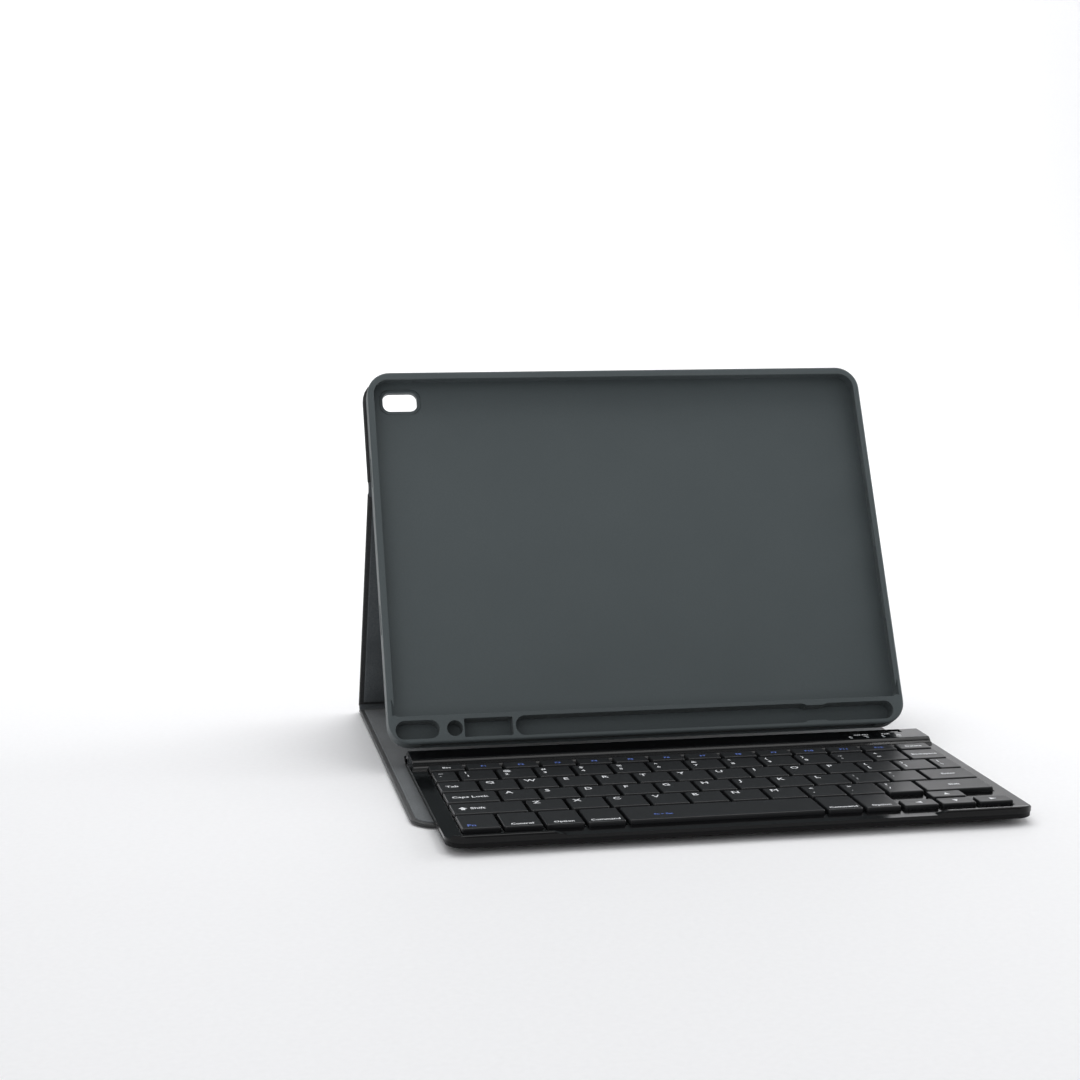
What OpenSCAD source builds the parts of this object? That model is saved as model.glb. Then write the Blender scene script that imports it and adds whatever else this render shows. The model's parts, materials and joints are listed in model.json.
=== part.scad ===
/* [Folio] */
// Width of the leather folio, left to right
folio_w = 257; // [250:0.5:262]
// Thickness of the outer leather
leather_t = 0.8; // [0.6:0.1:1.0]
// Thickness of the stiffening boards
board_t = 0.8; // [0.6:0.1:1.0]
// Thickness of the lining
lining_t = 0.6; // [0.4:0.1:0.8]
// Distance from the origin back to the fold at the foot of the stand
foot_y = 130.2; // [128:0.2:134]
// Distance from the origin forward to the free edge of the front cover
cover_front = 98; // [90:1:110]
// Width of the spine
spine_w = 21.5; // [20:0.5:24]
// Half the width of the soft gap at each fold
fold_half = 3; // [2.6:0.1:3.4]
// Radius of the free corners of the leather
leather_r = 13; // [8:1:14]

/* [Tray] */
// Lean of the tray back from upright, in degrees
tray_lean = 27; // [26:0.5:28]
// Height of the tray's lower front edge above the table
tray_z = 13.3; // [13.1:0.1:14]
// Outer width of the tray
tray_w = 254; // [254:0.5:255]
// Outer height of the tray
tray_h = 189; // [189:0.5:190]
// Outer thickness of the tray
tray_t = 10.1; // [10.1:0.1:10.6]
// Width of the bay that takes the tablet
bay_w = 251; // [250.6:0.2:251.2]
// Height of the bay that takes the tablet
bay_h = 174.8; // [174.2:0.2:175]
// Depth of the bay that takes the tablet
bay_d = 7.6; // [7.5:0.1:7.7]
// Thickness of the lip in front of the glass
lip_t = 1.1; // [0.9:0.1:1.2]
// Height of the bay floor above the tray's lower edge
bay_floor = 12.2; // [12:0.1:12.4]
// Distance up the tray to the fold between the upper panel and the leg
fold_h = 132; // [130:1:134]

/* [Keyboard] */
// Left edge of the keyboard
kb_x0 = -120; // [-122:0.5:-119]
// Right edge of the keyboard
kb_x1 = 134.5; // [133:0.5:136]
// Front edge of the keyboard
kb_front = -138; // [-140:0.5:-136]
// Rear edge of the keyboard
kb_rear = 9; // [8:0.5:9]
// Height of the keyboard's underside above the table
kb_z = 2.8; // [2.7:0.1:2.9]
// Height of the deck around the keys
deck_z = 6.3; // [6.2:0.1:6.4]
// Height of the hump behind the keys
hump_z = 9.3; // [9:0.1:9.4]
// Height of the top of a key
key_z = 8.2; // [8:0.1:8.3]
// Left edge of the block of keys
keys_x = -112.1; // [-112.5:0.1:-112]
// Gap between two keys in a row
key_gap = 1.45; // [1.4:0.05:1.5]
// Width of a letter key
letter_w = 16.17; // [16.1:0.01:16.2]
// Depth of a key, front to back
letter_d = 16.4; // [16:0.1:16.5]
// Distance from one row of keys to the next
row_pitch = 18.3; // [18.2:0.1:18.5]

/* [Hidden] */
$fn = 64;
cut = 1; // how far a cutting solid runs past the face it opens
skin_t = leather_t + board_t;
folio_t = skin_t + lining_t;
folio_x = folio_w / 2;

// Hinge at the fold, in the tray's own depth and height, then in the part's frame
axis_back = 0.35; // how far the fold's axis lies behind the middle of the folio
fold_d = tray_t + folio_t / 2 + axis_back;
fold_y = fold_h * sin(tray_lean) + fold_d * cos(tray_lean);
fold_z = tray_z + fold_h * cos(tray_lean) - fold_d * sin(tray_lean);
foot_z = folio_t / 2;
leg_len = norm([foot_y - fold_y, fold_z - foot_z]);
leg_lean = atan2(foot_y - fold_y, fold_z - foot_z);
leg_span = [fold_half, leg_len - fold_half];
upper_rise = 1.4; // how far the upper panel stands above the tray's top edge
upper_span = [fold_h + fold_half, tray_h + upper_rise];

// Board outlines on the front cover, as [rear y, front y]
spine_y = foot_y - spine_w;
board_inset = 5; // leather turned round a board at a free edge
board_hem = 3; // plain leather between a board and a fold
board_r = 4;
narrow_w = 48;
board_gap = 10; // plain leather between the narrow board and the wide one
spine_board_y = [foot_y - board_inset, spine_y + 2];
narrow_board_y = [spine_y - board_hem, spine_y - board_hem - narrow_w];
wide_board_y = [narrow_board_y[1] - board_gap, -cover_front + board_inset];
lining_inset = 1;
crease_r = 1; // radius of a panel's corners beside a fold

// Magnets that hold the keyboard to the cover
magnet_r = 5;
magnet_xy = [[-88, -62], [102, -62], [-88, 4], [102, 4]];
magnet_t = 0.6;

// Tray openings
bar_h = 13.35;
window_w = 247.8;
window_h = 171.9;
camera_x = -110.1;
camera_h = 176.5;
camera_w = 19.7;
camera_tall = 12.6;
camera_r = 5;
camera_hem = 1.2; // plain leather round the camera window
glue_inset = 4; // bare edge round the adhesive sheet
wall_x = tray_w / 2;

// Pockets and the stylus slot in the lower bar: [left, right, height, corner radius]
bar_mid = 6.75;
pocket_d = 8.6;
pill_pocket = [-123.8, -103, 9, 4.4];
square_pocket = [-91.2, -68, 9, 0.6];
stylus_slot = [-66.6, 79, 9.6, 4.6];
finger_recess = [76, 88, 7.6, 1];
end_pocket = [84, 121, 9, 4.4];
round_pocket_x = -95.7;
round_pocket_r = 3.8;

// Openings in the tray's side walls, and soft covers over the buttons: [start, length]
port_slot = [93, 13];
speaker_slots = [[55, 15], [130, 15]];
button_covers = [[-92, 21], [-64, 12]];
button_cover_t = 0.6;
underside_x = 112;
underside_step = 0.9;

// Keyboard layers, from the bottom
floor_t = 1;
wall_t = 1.6;
split_z = 4.9;
plate_t = 0.4;
membrane_t = 0.3;
floor_z = kb_z + floor_t;
membrane_z = floor_z + plate_t;
dome_z = membrane_z + membrane_t;
key_bottom = 6.25;
key_wall = 0.8;
well_gap = 0.4;
hump_front = -20;
hump_side = 1.6;
cavity_y = [-13.6, 3.5];
cavity_top = 8.2;
case_step = 0.4; // how far the bottom case is set in under the top case
lip_z = 8;
lip_run = 6; // length over which a lip comes down to the deck
lip_back = -134.2;
lip_left = -76;
lip_right = 95;
screw_r = 1.1;
screw_xy = [[-114, -132], [128.5, -132], [7, -19.4], [-114, -19.4], [128.5, -19.4]];

// Switch, button and indicators on the hump
window_x = [92, 123.5];
window_y = [-3.4, 3.2];
switch_x = 100;
switch_len = 5;
switch_travel = 3;
pair_x = 114;
pair_r = 1.9;
lens_x = [95, 103.2, 111.4, 119.6];
lens_y = -11;
lens_r = 0.7;
recess_z = hump_z - 0.7;

// Charging port's mouth in the left end, rubber feet and inner layers
port_y = [-9.5, -0.5];
port_z = [5.1, 8.1];
foot_r = 4;
foot_xy = [[-108, -84], [122, -84], [-108, 0], [122, 0]];
deck_area = [kb_x0 + 5, kb_x1 - 5, -130.6, hump_front - 0.6];
inner_gap = 0.5; // space round the board and the battery
dome_h = 1.2;
scissor_w = 7.2;
scissor_d = 6.8;
scissor_hole = 2.8;

// Rows of keys: [rear edge, depth, widths from left to right]
number_y = -34;
bottom_d = 20.4;
mod_w = 15.5;
arrow_d = 9;
function_row = [-21.8, 9.6, [for (i = [0:13]) 15.81]];
number_row = [number_y, letter_d, concat([10.5], [for (i = [0:11]) letter_w], [16.8])];
upper_row = [number_y - row_pitch, letter_d, concat([17.1], [for (i = [0:11]) letter_w], [10.2])];
home_row = [number_y - 2 * row_pitch, letter_d, concat([22.9], [for (i = [0:10]) letter_w], [22.2])];
lower_row = [number_y - 3 * row_pitch, letter_d, concat([31.7], [for (i = [0:9]) letter_w], [30.9])];
bottom_row = [number_y - 4 * row_pitch, bottom_d,
    concat([for (i = [0:3]) letter_w], [84.9], [for (i = [0:4]) mod_w])];
key_rows = [function_row, number_row, upper_row, home_row, lower_row];

function total(v, n) = n <= 0 ? 0 : v[n - 1] + total(v, n - 1);
function key_x(row, i) = keys_x + total(row[2], i) + i * key_gap;
// Points along an arc, for outlines
function arc(c, r, a0, a1, n) = [for (i = [0:n]) c + r * [cos(a0 + (a1 - a0) * i / n), sin(a0 + (a1 - a0) * i / n)]];

// Rectangle with one corner radius at its low edge and another at its high edge
module corner_rect(x0, x1, y0, y1, r_low, r_high) {
    translate([x0, y0 + r_low]) square([x1 - x0, y1 - y0 - r_low - r_high]);
    translate([x0 + r_low, y0]) square([x1 - x0 - 2 * r_low, 2 * r_low]);
    translate([x0 + r_high, y1 - 2 * r_high]) square([x1 - x0 - 2 * r_high, 2 * r_high]);
    for (x = [x0 + r_low, x1 - r_low]) translate([x, y0 + r_low]) circle(r_low);
    for (x = [x0 + r_high, x1 - r_high]) translate([x, y1 - r_high]) circle(r_high);
}

// Frames of the leg and the tray, each with Y along its depth or length as noted
module on_leg() {
    // X across, Y up the leg from the foot fold, Z from the leather to the lining
    translate([0, foot_y, foot_z]) rotate([90 + leg_lean, 0, 0]) translate([0, 0, -folio_t / 2]) children();
}
module on_tray() {
    // X across, Y from the front of the lip to the back, Z up the tray
    translate([0, 0, tray_z]) rotate([-tray_lean, 0, 0]) children();
}
module tray_plate(d0, d1) {
    // An outline in X and tray height, thickened from depth d0 to depth d1
    translate([0, d1, 0]) rotate([90, 0, 0]) linear_extrude(d1 - d0) children();
}

// Front cover and spine, flat on the table
module cover_outline() {
    corner_rect(-folio_x, folio_x, -cover_front, foot_y - fold_half, leather_r, crease_r);
}
module board_outline(span) {
    corner_rect(-folio_x + board_inset, folio_x - board_inset, span[1], span[0], board_r, board_r);
}
module cover_leather() color("#343536") difference() {
    linear_extrude(skin_t) cover_outline();
    translate([0, 0, leather_t]) linear_extrude(board_t + cut) {
        board_outline(spine_board_y);
        board_outline(narrow_board_y);
        board_outline(wide_board_y);
    }
}
module board(span) translate([0, 0, leather_t]) linear_extrude(board_t) board_outline(span);
module wide_board() color("#8a8478") difference() {
    board(wide_board_y);
    for (p = magnet_xy) translate([p.x, p.y, leather_t - cut]) cylinder(r = magnet_r, h = board_t + 2 * cut);
}
module narrow_board() color("#8a8478") board(narrow_board_y);
module spine_board() color("#8a8478") board(spine_board_y);
module cover_magnets() color("silver")
    for (p = magnet_xy) translate([p.x, p.y, leather_t]) cylinder(r = magnet_r, h = board_t);
module cover_lining() color("#45484b") translate([0, 0, skin_t]) linear_extrude(lining_t)
    corner_rect(-folio_x + lining_inset, folio_x - lining_inset, -cover_front + lining_inset,
        foot_y - fold_half, leather_r - lining_inset, crease_r);

// Leg of the stand: the folio's rear panel below the fold
module leg_board_outline() board_outline([leg_span[1] - board_hem, leg_span[0] + board_hem]);
module leg_leather() color("#343536") on_leg() difference() {
    linear_extrude(skin_t) corner_rect(-folio_x, folio_x, leg_span[0], leg_span[1], crease_r, crease_r);
    translate([0, 0, leather_t]) linear_extrude(board_t + cut) leg_board_outline();
}
module leg_board() color("#8a8478") on_leg()
    translate([0, 0, leather_t]) linear_extrude(board_t) leg_board_outline();
module leg_lining() color("#45484b") on_leg() translate([0, 0, skin_t]) linear_extrude(lining_t)
    corner_rect(-folio_x + lining_inset, folio_x - lining_inset, leg_span[0], leg_span[1], crease_r, crease_r);

// Upper panel: the folio's rear panel above the fold, glued to the tray's back
module camera_outline(grow) corner_rect(camera_x - camera_w / 2 - grow, camera_x + camera_w / 2 + grow,
    camera_h - camera_tall / 2 - grow, camera_h + camera_tall / 2 + grow, camera_r, camera_r);
module upper_plate(d0, d1) on_tray() tray_plate(tray_t + d0, tray_t + d1) children();
module upper_board_outline() difference() {
    corner_rect(-folio_x + board_inset, folio_x - board_inset, upper_span[0] + board_hem,
        upper_span[1] - board_inset, board_r, leather_r - board_r);
    camera_outline(camera_hem);
}
module upper_leather() color("#343536") difference() {
    upper_plate(lining_t, folio_t) difference() {
        corner_rect(-folio_x, folio_x, upper_span[0], upper_span[1], crease_r, leather_r);
        camera_outline(0);
    }
    upper_plate(lining_t - cut, lining_t + board_t) upper_board_outline();
}
module upper_board() color("#8a8478") upper_plate(lining_t, lining_t + board_t) upper_board_outline();
module adhesive_sheet() color("#c9c6bb") upper_plate(0, lining_t) difference() {
    corner_rect(-wall_x + glue_inset, wall_x - glue_inset, upper_span[0] + 1, tray_h - glue_inset, 2, 9);
    camera_outline(camera_hem);
}

// Soft tray that grips the tablet
module pocket(p) tray_plate(-cut, pocket_d)
    corner_rect(p[0], p[1], bar_mid - p[2] / 2, bar_mid + p[2] / 2, p[3], p[3]);
module side_slot(x, span, d0, d1)
    translate([x - 3, d0, span[0]]) cube([6, d1 - d0, span[1]]);
module tray_shell() color("#4b5254") on_tray() difference() {
    union() {
        tray_plate(0, tray_t) corner_rect(-wall_x, wall_x, 0, tray_h, 11, 11.5);
        // Soft covers over the tablet's volume and power buttons, on the top edge
        for (b = button_covers)
            translate([b[0], 3, tray_h - cut]) cube([b[1], 3.4, cut + button_cover_t]);
    }
    tray_plate(lip_t, lip_t + bay_d) corner_rect(-bay_w / 2, bay_w / 2, bay_floor, bay_floor + bay_h, 6, 9);
    tray_plate(-cut, lip_t + cut)
        corner_rect(-window_w / 2, window_w / 2, bar_h, bar_h + window_h, 2, 7.5);
    tray_plate(lip_t + bay_d - cut, tray_t + cut) camera_outline(0.4);
    // Moulded pockets in the lower bar
    pocket(pill_pocket);
    tray_plate(-cut, pocket_d) translate([round_pocket_x, bar_mid]) circle(round_pocket_r);
    pocket(square_pocket);
    // Slot for the stylus, with a finger recess at its right end
    pocket(stylus_slot);
    pocket(finger_recess);
    pocket(end_pocket);
    // Small relief cuts beside the lower corners of the glass
    for (s = [-1, 1]) tray_plate(-cut, 4)
        polygon([[s * 125.1, 13.8], [s * 125.1, 22], [s * 122.5, 14.4]]);
    // The underside is stepped in between the two lower corners
    translate([-underside_x, 1.4, -cut]) cube([2 * underside_x, tray_t - 2.8, cut + underside_step]);
    // Charging port and speaker openings in the right edge, speaker openings in the left
    side_slot(wall_x, port_slot, 3.1, 6.9);
    for (x = [-wall_x, wall_x]) for (span = speaker_slots) side_slot(x, span, 3.8, 6.4);
}

// Keyboard cases
module kb_outline(inset) corner_rect(kb_x0 + inset, kb_x1 - inset, kb_front + inset, kb_rear - inset,
    9 - inset, 6 - inset);
module along_x(x0, x1) translate([x0, 0, 0]) rotate([90, 0, 90]) linear_extrude(x1 - x0) children();
hump_points = concat(
    [[hump_front, split_z + 0.2], [hump_front, deck_z]],
    arc([hump_front, deck_z + 2.6], 2.6, -90, -38, 5),
    arc([hump_front + 6.6, hump_z - 3.8], 3.8, 142, 90, 6),
    [[2, hump_z]],
    arc([2, hump_z - 4.6], 4.6, 80, 40, 5),
    [[kb_rear - 0.6, deck_z + 0.4], [kb_rear, deck_z - 0.4], [kb_rear, split_z + 0.2]]);
// A raised lip from the case's side at x_end inwards, coming down to the deck past x_inner
module lip(x_end, x_inner) {
    x_low = x_inner + (x_inner > x_end ? lip_run : -lip_run);
    intersection() {
        along_x(min(x_end, x_low), max(x_end, x_low)) polygon(concat(
            [[kb_front, split_z + 0.2], [kb_front, lip_z - 1]],
            arc([kb_front + 1, lip_z - 1], 1, 170, 90, 4),
            [[lip_back - 1.2, lip_z - 0.2], [lip_back, deck_z - 0.1], [lip_back, split_z + 0.2]]));
        translate([0, lip_back + cut, 0]) rotate([90, 0, 0]) linear_extrude(lip_back - kb_front + 2 * cut)
            polygon([[x_end, split_z], [x_end, lip_z + cut], [x_inner, lip_z + cut], [x_inner, lip_z],
                [x_low, deck_z - 0.1], [x_low, split_z]]);
    }
}
module well(x, y, w, d)
    translate([x - well_gap, y - d - well_gap, split_z - cut])
        cube([w + 2 * well_gap, d + 2 * well_gap, deck_z - split_z + 2 * cut]);
module keyboard_top_case() color("#141516") difference() {
    union() {
        translate([0, 0, split_z]) linear_extrude(deck_z - split_z) kb_outline(0);
        intersection() {
            along_x(kb_x0 + hump_side, kb_x1 - hump_side) polygon(hump_points);
            linear_extrude(20) kb_outline(0);
        }
        // Raised lips at both ends of the front edge, with a finger notch between
        intersection() {
            union() {
                lip(kb_x0, lip_left);
                lip(kb_x1, lip_right);
            }
            linear_extrude(20) kb_outline(0);
        }
    }
    for (row = key_rows) for (i = [0:len(row[2]) - 1]) well(key_x(row, i), row[0], row[2][i], row[1]);
    for (i = [0:6]) well(key_x(bottom_row, i), bottom_row[0], bottom_row[2][i], bottom_d);
    for (i = [7, 9]) well(key_x(bottom_row, i), bottom_row[0] - bottom_d + arrow_d, mod_w, arrow_d);
    well(key_x(bottom_row, 8), bottom_row[0], mod_w, bottom_d);
    // Hollow of the hump
    translate([kb_x0 + 5, cavity_y[0], split_z - cut])
        cube([kb_x1 - kb_x0 - 10, cavity_y[1] - cavity_y[0], cavity_top - split_z + cut]);
    // Recess for the switch and button, with the slot and the hole they stand in
    translate([window_x[0], window_y[0], recess_z])
        cube([window_x[1] - window_x[0], window_y[1] - window_y[0], 2]);
    translate([switch_x - switch_len / 2 - 0.3, -1.3, cavity_top - cut])
        cube([switch_len + switch_travel + 0.6, 2.6, 3]);
    translate([pair_x, 0, cavity_top - cut]) cylinder(r = pair_r + 0.2, h = 3);
    for (x = lens_x) translate([x, lens_y, cavity_top - cut]) cylinder(r = lens_r, h = 3);
    // Mouth of the charging port in the left end
    translate([kb_x0 - cut, port_y[0], port_z[0]]) cube([10, port_y[1] - port_y[0], port_z[1] - port_z[0]]);
}
module keyboard_bottom_case() color("#101112") difference() {
    translate([0, 0, kb_z]) linear_extrude(split_z - kb_z) kb_outline(case_step);
    translate([0, 0, floor_z]) linear_extrude(3) kb_outline(wall_t);
    for (p = magnet_xy) translate([p.x, p.y, floor_z - magnet_t]) cylinder(r = magnet_r, h = 3);
    for (p = foot_xy) translate([p.x, p.y, kb_z - cut]) cylinder(r = foot_r, h = cut + 0.3);
    for (p = screw_xy) translate([p.x, p.y, kb_z - cut]) cylinder(r = screw_r, h = floor_t + 2 * cut);
}

// Inside the keyboard
module layer(z, t, inset) translate([deck_area[0] + inset, deck_area[2] + inset, z])
    cube([deck_area[1] - deck_area[0] - 2 * inset, deck_area[3] - deck_area[2] - 2 * inset, t]);
module support_plate() color("#9a9da0") layer(floor_z, plate_t, 0);
module membrane_sheet() color("#c8d2cc") layer(membrane_z, membrane_t, 2);
module at_each_key() {
    for (row = key_rows) for (i = [0:len(row[2]) - 1])
        translate([key_x(row, i) + row[2][i] / 2, row[0] - row[1] / 2, dome_z]) children();
    for (i = [0:6])
        translate([key_x(bottom_row, i) + bottom_row[2][i] / 2, bottom_row[0] - bottom_d / 2, dome_z]) children();
    for (i = [7:9])
        translate([key_x(bottom_row, i) + mod_w / 2, bottom_row[0] - bottom_d + arrow_d / 2, dome_z]) children();
    translate([key_x(bottom_row, 8) + mod_w / 2, bottom_row[0] - arrow_d / 2, dome_z]) children();
}
module rubber_domes() color("#d9d9d2") at_each_key() cylinder(r1 = 2.3, r2 = 1.6, h = dome_h);
module scissor_frames() color("#e6e6e0") at_each_key() difference() {
    translate([-scissor_w / 2, -scissor_d / 2, 0]) cube([scissor_w, scissor_d, 0.3]);
    translate([0, 0, -cut]) cylinder(r = scissor_hole, h = 3);
}
module controller_board() color("#1f6b3a") translate([60, cavity_y[0] + inner_gap, floor_z + 0.4])
    cube([66, cavity_y[1] - cavity_y[0] - 2 * inner_gap, 1]);
module battery_cell() color("#b9bcc0") translate([-95, cavity_y[0] + inner_gap, floor_z + 0.2])
    cube([120, cavity_y[1] - cavity_y[0] - 2 * inner_gap, 3.8]);
module charging_port() color("#a9adb0") translate([kb_x0 + 1, port_y[0] + 0.1, port_z[0] + 0.1]) difference() {
    cube([7.4, 8.8, 2.8]);
    translate([-cut, 0.4, 0.4]) cube([7.4, 8, 2]);
}
module indicator_lenses() color("#dfe8ea")
    for (x = lens_x) translate([x, lens_y, cavity_top]) cylinder(r = lens_r, h = hump_z - cavity_top);
module rubber_feet() color("#2a2a2a")
    for (p = foot_xy) translate([p.x, p.y, folio_t + 0.1]) cylinder(r = foot_r, h = kb_z + 0.3 - folio_t - 0.1);
module keyboard_magnets() color("silver")
    for (p = magnet_xy) translate([p.x, p.y, floor_z - magnet_t]) cylinder(r = magnet_r, h = magnet_t);
module case_screws() color("#606468") for (p = screw_xy) translate([p.x, p.y, kb_z + 0.1]) {
    cylinder(r = screw_r, h = 0.5);
    cylinder(r = 0.7, h = split_z - kb_z - 0.1);
}

// Switch and pairing button
module power_switch() color("#3a3b3d") {
    translate([switch_x - switch_len / 2, -1, cavity_top - 0.5]) cube([switch_len, 2, 1.4]);
    translate([switch_x - 1, -0.8, cavity_top - 0.9]) cube([2, 1.6, 0.6]);
}
module pairing_button() color("#3a3b3d")
    translate([pair_x, 0, cavity_top - 0.2]) cylinder(r = pair_r, h = hump_z - cavity_top);

// Keys
module keycap(x, y, w, d) color("#26272a") translate([x, y - d, key_bottom]) difference() {
    linear_extrude(key_z - key_bottom) corner_rect(0, w, 0, d, 1, 1);
    translate([key_wall, key_wall, -cut])
        cube([w - 2 * key_wall, d - 2 * key_wall, key_z - key_bottom - key_wall + cut]);
}
module row_keys(row, first, last)
    for (i = [first:last]) keycap(key_x(row, i), row[0], row[2][i], row[1]);
module function_row_keys() row_keys(function_row, 0, 13);
module number_row_keys() row_keys(number_row, 0, 12);
module backspace_key() row_keys(number_row, 13, 13);
module tab_key() row_keys(upper_row, 0, 0);
module upper_letter_keys() row_keys(upper_row, 1, 13);
module caps_lock_key() row_keys(home_row, 0, 0);
module home_letter_keys() row_keys(home_row, 1, 11);
module enter_key() row_keys(home_row, 12, 12);
module left_shift_key() row_keys(lower_row, 0, 0);
module lower_letter_keys() row_keys(lower_row, 1, 10);
module right_shift_key() row_keys(lower_row, 11, 11);
module fn_key() row_keys(bottom_row, 0, 0);
module control_key() row_keys(bottom_row, 1, 1);
module option_key() row_keys(bottom_row, 2, 2);
module command_key() row_keys(bottom_row, 3, 3);
module space_bar() row_keys(bottom_row, 4, 4);
module right_command_key() row_keys(bottom_row, 5, 5);
module right_option_key() row_keys(bottom_row, 6, 6);
module low_arrow(i) keycap(key_x(bottom_row, i), bottom_row[0] - bottom_d + arrow_d, mod_w, arrow_d);
module left_arrow_key() low_arrow(7);
module down_arrow_key() low_arrow(8);
module right_arrow_key() low_arrow(9);
module up_arrow_key() keycap(key_x(bottom_row, 8), bottom_row[0], mod_w, arrow_d);

cover_leather();
cover_lining();
wide_board();
narrow_board();
spine_board();
cover_magnets();
leg_leather();
leg_board();
leg_lining();
tray_shell();
upper_leather();
upper_board();
adhesive_sheet();
keyboard_top_case();
keyboard_bottom_case();
support_plate();
membrane_sheet();
rubber_domes();
scissor_frames();
controller_board();
battery_cell();
charging_port();
indicator_lenses();
rubber_feet();
keyboard_magnets();
case_screws();
power_switch();
pairing_button();
function_row_keys();
number_row_keys();
backspace_key();
tab_key();
upper_letter_keys();
caps_lock_key();
home_letter_keys();
enter_key();
left_shift_key();
lower_letter_keys();
right_shift_key();
fn_key();
control_key();
option_key();
command_key();
space_bar();
right_command_key();
right_option_key();
left_arrow_key();
up_arrow_key();
down_arrow_key();
right_arrow_key();
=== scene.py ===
# %% [markdown]
# # A folio tablet case with a keyboard, in the typing position
# The CAD model fixes every size and every hinge. This script loads it as a frame, dresses each
# piece in its own material, rounds the edges that the mould or the folding iron rounds, and adds
# what is too fine for the CAD: embossed panels, folds of leather, shaped keys and their print.
# Everything is in metres, in the frame of the CAD model: X to the right, Y away, Z up.

# %% Load the frame
import json
import math

import bmesh
import bpy
from mathutils import Euler, Matrix, Vector


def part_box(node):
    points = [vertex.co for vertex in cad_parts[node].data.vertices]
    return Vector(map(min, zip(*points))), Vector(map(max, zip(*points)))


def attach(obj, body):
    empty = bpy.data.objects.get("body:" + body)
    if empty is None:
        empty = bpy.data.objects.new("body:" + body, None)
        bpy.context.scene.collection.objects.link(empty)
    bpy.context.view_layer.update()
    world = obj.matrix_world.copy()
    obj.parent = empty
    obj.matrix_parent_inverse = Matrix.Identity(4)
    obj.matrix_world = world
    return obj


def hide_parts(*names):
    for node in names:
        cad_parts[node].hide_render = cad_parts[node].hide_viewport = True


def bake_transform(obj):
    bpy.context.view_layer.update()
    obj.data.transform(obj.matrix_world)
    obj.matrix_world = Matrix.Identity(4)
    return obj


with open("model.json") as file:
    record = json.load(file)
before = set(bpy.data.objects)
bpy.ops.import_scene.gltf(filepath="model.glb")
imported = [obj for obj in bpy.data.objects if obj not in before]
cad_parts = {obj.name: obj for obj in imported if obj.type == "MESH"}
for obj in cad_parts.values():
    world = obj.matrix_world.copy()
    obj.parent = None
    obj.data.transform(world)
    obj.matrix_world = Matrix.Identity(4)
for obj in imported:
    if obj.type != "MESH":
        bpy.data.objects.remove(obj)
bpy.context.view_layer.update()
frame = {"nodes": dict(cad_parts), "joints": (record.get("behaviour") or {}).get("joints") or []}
MM = 0.001

# %% [markdown]
# ## The camera
# The case is seen from low on the left, a little above the table. The lens is a long one, of the
# kind used for portraits, so the near edge of the keyboard isn't swollen.

# %% Camera
LENS_MM = 70.06
CAMERA_AT = Vector((-235.9, -954.1, 248.2)) * MM
CAMERA_TURN = Euler((math.radians(81.792), 0.0, math.radians(-10.701)))
camera = bpy.data.objects.new("camera", bpy.data.cameras.new("camera"))
camera.data.lens = LENS_MM
camera.data.sensor_width = 36.0
camera.location = CAMERA_AT
camera.rotation_euler = CAMERA_TURN
bpy.context.collection.objects.link(camera)
bpy.context.scene.camera = camera
bpy.context.scene.view_settings.view_transform = "Standard"
print("camera:", LENS_MM, "mm lens at", tuple(round(v, 3) for v in CAMERA_AT))

# %% [markdown]
# ## Colours and nodes
# A colour picked on a screen is stored along a curve, and light adds up without one. So each
# colour here is a web value, and one function straightens it. A material is a small graph of
# nodes. One more function adds a node, sets its inputs by their names and links what feeds it.

# %% Colour and the node helper
def linear(hex_colour):
    """A web colour such as '4b5254' as linear red, green, blue and an alpha of 1."""
    out = []
    for i in (0, 2, 4):
        c = int(hex_colour[i:i + 2], 16) / 255.0
        out.append(c / 12.92 if c <= 0.04045 else ((c + 0.055) / 1.055) ** 2.4)
    return (*out, 1.0)


def node(tree, kind, links=None, **settings):
    """Adds a node. links maps an input's name to the node or socket that feeds it."""
    made = tree.nodes.new(kind)
    own = made.bl_rna.properties
    for key in sorted(settings, key=lambda k: k not in own):
        if key in own:
            setattr(made, key, settings[key])
        else:
            shown_input(made, key.replace("_", " ")).default_value = settings[key]
    for key, source in (links or {}).items():
        tree.links.new(result(source), shown_input(made, key))
    return made


def shown_input(made, name):
    """An input by its name, among those that the node's settings show."""
    return next(s for s in made.inputs if s.enabled and s.name == name)


def result(source):
    """A socket as it is, or a node's first shown output."""
    if isinstance(source, bpy.types.NodeSocket):
        return source
    return next(s for s in source.outputs if s.enabled)


def new_material(name, **shader):
    """A material with one Principled shader. shader gives its constant sockets."""
    m = bpy.data.materials.new(name)
    m.use_nodes = True
    bsdf = m.node_tree.nodes["Principled BSDF"]
    for key, value in shader.items():
        bsdf.inputs[key.replace("_", " ")].default_value = value
    return m, m.node_tree, bsdf


def object_coordinates(tree, per_m=1000.0):
    """Coordinates that ride with the piece, in millimetres unless per_m says otherwise."""
    place = node(tree, "ShaderNodeTexCoord")
    return node(tree, "ShaderNodeMapping", {"Vector": place.outputs["Object"]}, Scale=(per_m, per_m, per_m))


print("colour and node helpers ready")

# %% [markdown]
# ## The floor
# The case lies on a plain pale sheet of paper that rises behind it in one bend, so no line
# shows where the floor ends. It is an outline seen from the side, drawn out to both sides.

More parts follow.
